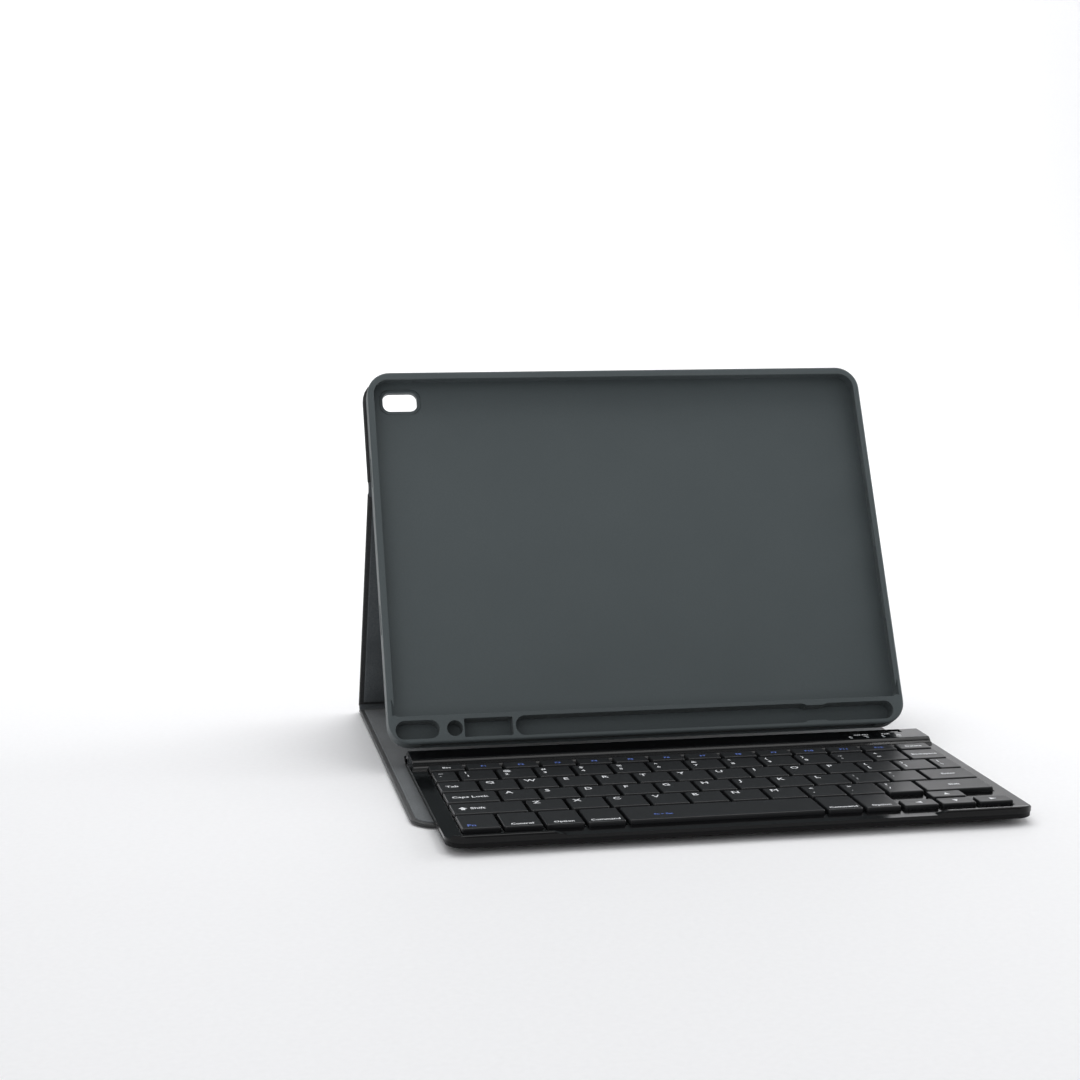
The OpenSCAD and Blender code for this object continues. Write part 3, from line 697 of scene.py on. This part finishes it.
def softened(node_name, name, material, width_mm, generous_mm=0.0, is_generous=None):
    """A copy of a CAD node with its flat faces whole and its edges rounded."""
    source = frame["nodes"][node_name]
    bm = bmesh.new()
    bm.from_mesh(source.data)
    bmesh.ops.remove_doubles(bm, verts=bm.verts, dist=SAME_POINT_MM * MM)
    bmesh.ops.dissolve_limit(bm, angle_limit=math.radians(SAME_PLANE_DEG), verts=bm.verts, edges=bm.edges)
    if is_generous:
        chosen = [e for e in bm.edges if len(e.link_faces) == 2
                  and e.calc_face_angle(0.0) > math.radians(BEND_DEG) and is_generous(e)]
        bmesh.ops.bevel(bm, geom=chosen, offset=generous_mm * MM, segments=4, profile=0.5, affect="EDGES",
                        clamp_overlap=True)
    made = finished(bm, name, [material])
    if width_mm:
        rounding = made.modifiers.new("rounding", "BEVEL")
        rounding.width = width_mm * MM
        rounding.segments = 2
        rounding.limit_method = "ANGLE"
        rounding.angle_limit = math.radians(EDGE_DEG)
        baked(made)
    return evened(made)


print("copies of CAD pieces can be softened")

# %% [markdown]
# ## Choosing the tray's outer edges
# Only the outer edges of the tray's front and back faces get the generous radius. In the tray's
# own frame they are easy to tell: they lie in one of the two faces, and close to the outline,
# which is a rectangle with rounded corners.

# %% The tray
RIM_X, RIM_FOOT, RIM_TOP = 125.6, 0.6, 1.6  # beyond these an edge belongs to the outline
BEND_X, BEND_H, BEND_REACH = 116.0, 11.0, 10.2  # middle of a corner, and how far out its edge lies
IN_FACE = 0.2


def on_tray_rim(edge):
    """True along the outer front and back edges of the tray."""
    middle = on_tray.inverted() @ ((edge.verts[0].co + edge.verts[1].co) / 2)
    x, d, h = (v / MM for v in middle)
    at_side = abs(x) > RIM_X or h < RIM_FOOT or h > TRAY_H - RIM_TOP
    past_h = max(abs(h - TRAY_H / 2) - (TRAY_H / 2 - BEND_H), 0)
    at_corner = math.hypot(max(abs(x) - BEND_X, 0), past_h) > BEND_REACH
    return (d < IN_FACE or d > TRAY_T - IN_FACE) and (at_side or at_corner)


tray = softened("tray_shell", "soft_tray", soft_tpu, 0.25, 1.2, on_tray_rim)
dress(tray, "tray", "soft_tray", "tray_shell")

# %% [markdown]
# ## The keyboard's cases
# The top case carries the gloss, so its edges matter most: each is a thin bright line when
# the mould's radius is right. The bottom case is plain, and hardly shows.

# %% Cases
OUTLINE_MM, SEAM_MM = 2.5, 0.5
case_low, case_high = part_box("keyboard_top_case")


def on_case_outline(edge):
    """True along the top edge of the keyboard's outline."""
    x, y, z = (edge.verts[0].co + edge.verts[1].co) / 2
    near = min(x - case_low.x, case_high.x - x, y - case_low.y, case_high.y - y)
    return near < OUTLINE_MM * MM and z > case_low.z + SEAM_MM * MM


top_case = softened("keyboard_top_case", "keyboard_top_case_gloss", gloss_abs, 0.16, 0.5, on_case_outline)
dress(top_case, "keyboard", "gloss_case", "keyboard_top_case")
bottom_case = softened("keyboard_bottom_case", "keyboard_bottom_case_matte", matte_abs, 0.3)
dress(bottom_case, "keyboard", "matte_case", "keyboard_bottom_case")

# %% [markdown]
# ## Keys
# A key is a thin cap about 2 mm tall, open below where it comes down over its silicone dome. Its
# top is slightly smaller, with a soft rounded rim and a hollow that the fingertip feels. As with
# the panels, rings make it, from the ceiling inside to the middle of the top. The block of keys
# is a table: each row has its rear edge, its depth and its widths from left to right, as the CAD
# model has them.

# %% The block of keys
KEYS_X, KEY_GAP, LETTER_W, LETTER_D, ROW_PITCH = -112.1, 1.45, 16.17, 16.4, 18.3
NUMBER_Y, BOTTOM_D, MOD_W, ARROW_D = -34.0, 20.4, 15.5, 9.0
KEY_TOP, KEY_FOOT, KEY_WALL = 8.2, 6.25, 0.8
KEY_R, FIRST_ARROW = 1.0, 7
CAP_PROFILE = [(KEY_WALL, KEY_TOP - KEY_WALL), (KEY_WALL, KEY_FOOT), (0.0, KEY_FOOT), (0.0, 7.35),
               (0.08, 7.8), (0.22, 8.05), (0.42, 8.16), (0.75, KEY_TOP), (1.6, 8.18), (3.2, 8.13)]
rows = {
    "function": (-21.8, 9.6, [15.81] * 14),
    "number": (NUMBER_Y, LETTER_D, [10.5] + [LETTER_W] * 12 + [16.8]),
    "upper": (NUMBER_Y - ROW_PITCH, LETTER_D, [17.1] + [LETTER_W] * 12 + [10.2]),
    "home": (NUMBER_Y - 2 * ROW_PITCH, LETTER_D, [22.9] + [LETTER_W] * 11 + [22.2]),
    "lower": (NUMBER_Y - 3 * ROW_PITCH, LETTER_D, [31.7] + [LETTER_W] * 10 + [30.9]),
    "bottom": (NUMBER_Y - 4 * ROW_PITCH, BOTTOM_D, [LETTER_W] * 4 + [84.9] + [MOD_W] * 5),
}
nodes_of = {
    "function": ["function_row_keys"] * 14,
    "number": ["number_row_keys"] * 13 + ["backspace_key"],
    "upper": ["tab_key"] + ["upper_letter_keys"] * 13,
    "home": ["caps_lock_key"] + ["home_letter_keys"] * 11 + ["enter_key"],
    "lower": ["left_shift_key"] + ["lower_letter_keys"] * 10 + ["right_shift_key"],
    "bottom": ["fn_key", "control_key", "option_key", "command_key", "space_bar", "right_command_key",
               "right_option_key", "left_arrow_key", "down_arrow_key", "right_arrow_key"],
}
key_places = {}
for row, (rear, deep, widths) in rows.items():
    x = KEYS_X
    for i, wide in enumerate(widths):
        front = rear - deep
        is_arrow = row == "bottom" and i >= FIRST_ARROW
        top = front + ARROW_D if is_arrow else rear
        key_places[row, i] = (nodes_of[row][i], x, x + wide, front, top)
        x += wide + KEY_GAP
up_x0 = key_places["bottom", 8][1]
bottom_rear = rows["bottom"][0]
key_places["bottom", "up"] = ("up_arrow_key", up_x0, up_x0 + MOD_W, bottom_rear - ARROW_D, bottom_rear)
print(len(key_places), "keys have their places")

# %% [markdown]
# ## The caps
# Keys that stand for one CAD node are drawn into one mesh, so each press of that node moves them
# together.

# %% Key caps
key_meshes = {}
for name, x0, x1, y0, y1 in key_places.values():
    bm = key_meshes.setdefault(name, bmesh.new())
    add_plate(bm, (x0, x1, y0, y1, KEY_R, KEY_R), CAP_PROFILE)
for name, bm in key_meshes.items():
    dress(evened(finished(bm, name + "_caps", [keycap_abs], None, 50.0)), name, "keycap", name)
print(len(key_places), "keys in", len(key_meshes), "pieces")

# %% [markdown]
# ## Legends
# The legends are pad printed: thin flat ink, in a plain narrow sans. The letters sit high
# and left on their keys, number keys carry two signs one over the other, and what the function key
# brings out is in blue. Text curves give the ink real outlines, and each key's ink moves with it.

# %% Ink
white_ink = moulded("pad_print_white", "e0e2e5", "eceef0", 0.9, 0.004, 0.5, IOR=1.5)
blue_ink = moulded("pad_print_blue", "4f68b8", "6480cf", 0.9, 0.004, 0.5, IOR=1.5)
INK_Z = KEY_TOP - 0.01
INK_HALF = 0.02  # half its thickness
STROKE_SWELL = 0.07  # ink spreads a little past the plate's outline
ink_meshes = {}


def print_text(node_name, ink, text, x, y, size, left=True, z=INK_Z):
    """Flat text in millimetres, from its lower left or its lower middle."""
    curve = bpy.data.curves.new("ink", "FONT")
    curve.body = text
    curve.size = size * MM
    curve.extrude = INK_HALF * MM
    curve.offset = STROKE_SWELL * MM
    curve.resolution_u = 2
    curve.align_x = "LEFT" if left else "CENTER"
    letters = bpy.data.objects.new("ink", curve)
    bpy.context.collection.objects.link(letters)
    bpy.context.view_layer.update()
    mesh = bpy.data.meshes.new_from_object(letters.evaluated_get(bpy.context.evaluated_depsgraph_get()))
    mesh.transform(Matrix.Translation(Vector((x, y, z)) * MM))
    ink_meshes.setdefault((node_name, ink), bmesh.new()).from_mesh(mesh)
    bpy.data.objects.remove(letters)
    bpy.data.meshes.remove(mesh)


def print_shape(node_name, ink, points, x, y, z=INK_Z):
    """A flat printed shape from a list of points in millimetres."""
    bm = ink_meshes.setdefault((node_name, ink), bmesh.new())
    low = [bm.verts.new(Vector((x + px, y + py, z - INK_HALF)) * MM) for px, py in points]
    high = [bm.verts.new(Vector((x + px, y + py, z + INK_HALF)) * MM) for px, py in points]
    bm.faces.new(low[::-1])
    bm.faces.new(high)
    for i in range(len(points)):
        j = (i + 1) % len(points)
        bm.faces.new((low[i], low[j], high[j], high[i]))


print("ink can be printed at", INK_Z, "mm")

# %% [markdown]
# ## Which key says what
# Three small tables hold the legends: one letter to a key, two signs to a key, and words. A
# legend is placed from the corner or the middle of its own key.

# %% Legends
LETTER_SIZE, SIGN_SIZE, WORD_SIZE, WIDE_WORD_SIZE, HINT_SIZE = 4.9, 3.6, 3.0, 3.7, 2.4
LEFT_IN, LETTER_DOWN, SIGN_DOWN, SECOND_DOWN, WORD_HALF = 2.6, 5.6, 5.0, 10.6, 1.2
singles = {"upper": "QWERTYUIOP", "home": "ASDFGHJKL", "lower": "ZXCVBNM"}
pairs = {"number": ["~`", "!1", "@2", "#3", "$4", "%5", "^6", "&7", "*8", "(9", ")0", "_-", "+="],
         "upper": [None] * 11 + ["{[", "}]", "|\\"], "home": [None] * 10 + [":;", "\"'"],
         "lower": [None] * 8 + ["<,", ">.", "?/"]}
words = {("number", 13): "Backspace", ("upper", 0): "Tab", ("home", 0): "Caps Lock", ("home", 12): "Enter",
         ("lower", 0): "Shift", ("lower", 11): "Shift", ("bottom", 1): "Control", ("bottom", 2): "Option",
         ("bottom", 3): "Command", ("bottom", 5): "Command", ("bottom", 6): "Option"}
for row, letters in singles.items():
    for i, letter in enumerate(letters, start=1):
        name, x0, x1, y0, y1 = key_places[row, i]
        print_text(name, "white", letter, x0 + LEFT_IN, y1 - LETTER_DOWN, LETTER_SIZE)
for row, signs in pairs.items():
    for i, both in enumerate(signs):
        if both:
            name, x0, x1, y0, y1 = key_places[row, i]
            print_text(name, "white", both[0], x0 + LEFT_IN, y1 - SIGN_DOWN, SIGN_SIZE)
            print_text(name, "white", both[1], x0 + LEFT_IN, y1 - SECOND_DOWN, SIGN_SIZE)
for place, word in words.items():
    name, x0, x1, y0, y1 = key_places[place]
    middle_x, line_y = (x0 + x1) / 2, (y0 + y1) / 2 - WORD_HALF
    if place[0] == "bottom":
        print_text(name, "white", word, middle_x, y0 + 2.6, WORD_SIZE, left=False)
    elif place[1] == 0:
        word_in = 8.0 if word == "Shift" else 2.8
        print_text(name, "white", word, x0 + word_in, line_y, WIDE_WORD_SIZE)
    else:
        print_text(name, "white", word, middle_x, line_y, WORD_SIZE, left=False)
function_words = ["Esc"] + [f"F{i}" for i in range(1, 13)] + ["Delete"]
for i, word in enumerate(function_words):
    name, x0, x1, y0, y1 = key_places["function", i]
    ink = "blue" if word[1:].isdigit() else "white"
    print_text(name, ink, word, (x0 + x1) / 2, y0 + 3.4, WORD_SIZE, left=False)
name, x0, x1, y0, y1 = key_places["bottom", 0]
print_text(name, "blue", "Fn", x0 + LEFT_IN, y0 + 3.2, 4.0)
name, x0, x1, y0, y1 = key_places["bottom", 4]
print_text(name, "blue", "Fn + Esc", x0 + 12.0, bottom_rear - 14.0, HINT_SIZE)
print(len(ink_meshes), "pieces of ink")

# %% [markdown]
# ## Arrows
# The arrows are polygons of ink. One arrow that points right serves all four keys: a quarter
# turn swaps its two coordinates, so whole numbers of sine and cosine keep its lines straight.

# %% Arrows
SHIFT_ARROW = [(-2.0, 0.0), (0.0, 2.2), (2.0, 0.0), (0.9, 0.0), (0.9, -2.0), (-0.9, -2.0), (-0.9, 0.0)]
ARROW = [(-1.5, -1.3), (1.5, 0.0), (-1.5, 1.3)]
name, x0, x1, y0, y1 = key_places["lower", 0]
print_shape(name, "white", SHIFT_ARROW, x0 + 4.8, y0 + 8.0)
for column, turn in ((7, 180), ("up", 90), (8, -90), (9, 0)):
    name, x0, x1, y0, y1 = key_places["bottom", column]
    c, s = round(math.cos(math.radians(turn))), round(math.sin(math.radians(turn)))
    turned = [(c * a - s * b, s * a + c * b) for a, b in ARROW]
    print_shape(name, "white", turned, (x0 + x1) / 2, (y0 + y1) / 2)
print("five arrows printed")

# %% [markdown]
# ## Signs on the hump
# In front of the switch window are the words for the switch and the button, and a small sign over
# each indicator: a letter for caps lock, waves for the radio, a bolt for charging and a cell
# for the battery. They are the same ink as on the keys. A wave is a bent stroke, so it is an arc
# of two radii.

# %% Hump signs
SWITCH_X, PAIR_X = 100.0, 114.0
HUMP_Z = 9.29
SIGN_Y, WORD_Y, FOOT_Y = -9.0, -6.4, -9.8  # FOOT_Y is the line on which a letter or a wave stands
WAVE_RADII, WAVE_STROKE, WAVE_HALF_DEG = (0.4, 0.95, 1.5), 0.28, 48
caps_x, radio_x, charge_x, cell_x = 95.0, 103.2, 111.4, 119.6


def wave_stroke(radius, stroke, half_deg, steps=6):
    """Points of a stroke bent round the origin, opening upward."""
    angles = [math.radians(90 - half_deg + 2 * half_deg * i / steps) for i in range(steps + 1)]
    outer = [((radius + stroke) * math.cos(a), (radius + stroke) * math.sin(a)) for a in angles]
    return outer + [(radius * math.cos(a), radius * math.sin(a)) for a in reversed(angles)]


BOLT = [(0.25, 1.0), (-0.75, -0.15), (-0.1, -0.15), (-0.25, -1.0), (0.75, 0.15), (0.1, 0.15)]
CELL = [(-1.1, -0.6), (0.9, -0.6), (0.9, -0.25), (1.2, -0.25), (1.2, 0.25), (0.9, 0.25), (0.9, 0.6),
        (-1.1, 0.6)]
for word, x, y, size in (("OFF ON", SWITCH_X + 1.5, WORD_Y, 2.0), ("PAIR", PAIR_X, WORD_Y, 2.0),
                         ("A", caps_x, FOOT_Y, HINT_SIZE)):
    print_text("keyboard", "white", word, x, y, size, left=False, z=HUMP_Z)
for radius in WAVE_RADII:
    bent = wave_stroke(radius, WAVE_STROKE, WAVE_HALF_DEG)
    print_shape("keyboard", "white", bent, radio_x, FOOT_Y, HUMP_Z)
print_shape("keyboard", "white", BOLT, charge_x, SIGN_Y, HUMP_Z)
print_shape("keyboard", "white", CELL, cell_x, SIGN_Y, HUMP_Z)
for (name, ink), bm in ink_meshes.items():
    legend = finished(bm, f"{name}_{ink}_ink", [white_ink if ink == "white" else blue_ink])
    dress(legend, name, "gloss_case" if name == "keyboard" else "keycap")

# %% [markdown]
# ## Switch and button
# A fingernail moves the slide switch, so its knob has three small ribs across its travel. The
# pairing button is turned rather than square, with a shallow dish that a fingertip finds. Both are
# stacks of rings again, the button's being circles.

# %% Switch and button
SWITCH_HALF, RIB_HALF, KNOB_Z = 2.5, 0.25, 7.7
PAIR_R, PAIR_STEPS, BUTTON_Z = 1.9, 36, 8.0
KNOB_PROFILE = [(0.1, KNOB_Z), (0.0, KNOB_Z + 0.1), (0.0, 8.7), (0.08, 8.82), (0.2, 8.86)]
RIB_PROFILE = [(0.0, 8.8), (0.03, 9.02), (0.12, 9.09)]
BUTTON_PROFILE = [(0.0, BUTTON_Z), (0.0, 8.9), (0.06, 9.03), (0.2, 9.1), (0.45, 9.06), (0.9, 8.98),
                  (1.5, 8.94)]
bm = bmesh.new()
add_plate(bm, (SWITCH_X - 1.0, SWITCH_X + 1.0, -0.8, 0.8, 0.1, 0.1), [(0.0, 7.3), (0.0, KNOB_Z + 0.2)])
add_plate(bm, (SWITCH_X - SWITCH_HALF, SWITCH_X + SWITCH_HALF, -1.0, 1.0, 0.3, 0.3), KNOB_PROFILE)
for rib in (-1.1, 0.0, 1.1):
    rib_x = SWITCH_X + rib
    add_plate(bm, (rib_x - RIB_HALF, rib_x + RIB_HALF, -0.8, 0.8, 0.15, 0.15), RIB_PROFILE)
knob = finished(bm, "power_switch_knob", [matte_abs], None, 50.0)
dress(knob, "power_switch", "matte_case", "power_switch")
bm = bmesh.new()
turns = [math.tau * i / PAIR_STEPS for i in range(PAIR_STEPS)]
add_rings(bm, [[(PAIR_X + (PAIR_R - inset) * math.cos(a), (PAIR_R - inset) * math.sin(a), z)
                for a in turns] for inset, z in BUTTON_PROFILE])
button = finished(bm, "pairing_button_cap", [matte_abs], None, 50.0)
dress(button, "pairing_button", "matte_case", "pairing_button")

# %% [markdown]
# ## What the cases hold
# The nodes that need no finer shape stay as they are in CAD, and only take their materials. Most
# are inside: the plate that stiffens the keyboard, the printed film that senses a press, a
# silicone dome and a scissor under each key, the circuit board, the battery and the magnets. The
# feet, the screws, the port and the indicator windows can be seen from outside.

# %% Materials of the CAD nodes that show
materials_of = {
    "support_plate": aluminium_sheet, "membrane_sheet": polyester_film, "rubber_domes": dome_silicone,
    "scissor_frames": acetal, "controller_board": solder_mask, "battery_cell": pouch_foil,
    "charging_port": bright_steel, "indicator_lenses": frosted_lens, "rubber_feet": foot_rubber,
    "keyboard_magnets": nickel, "case_screws": bright_steel,
}
for name, material in materials_of.items():
    mesh = frame["nodes"][name].data
    mesh.materials.clear()
    mesh.materials.append(material)
print(len(materials_of), "CAD nodes have their materials")
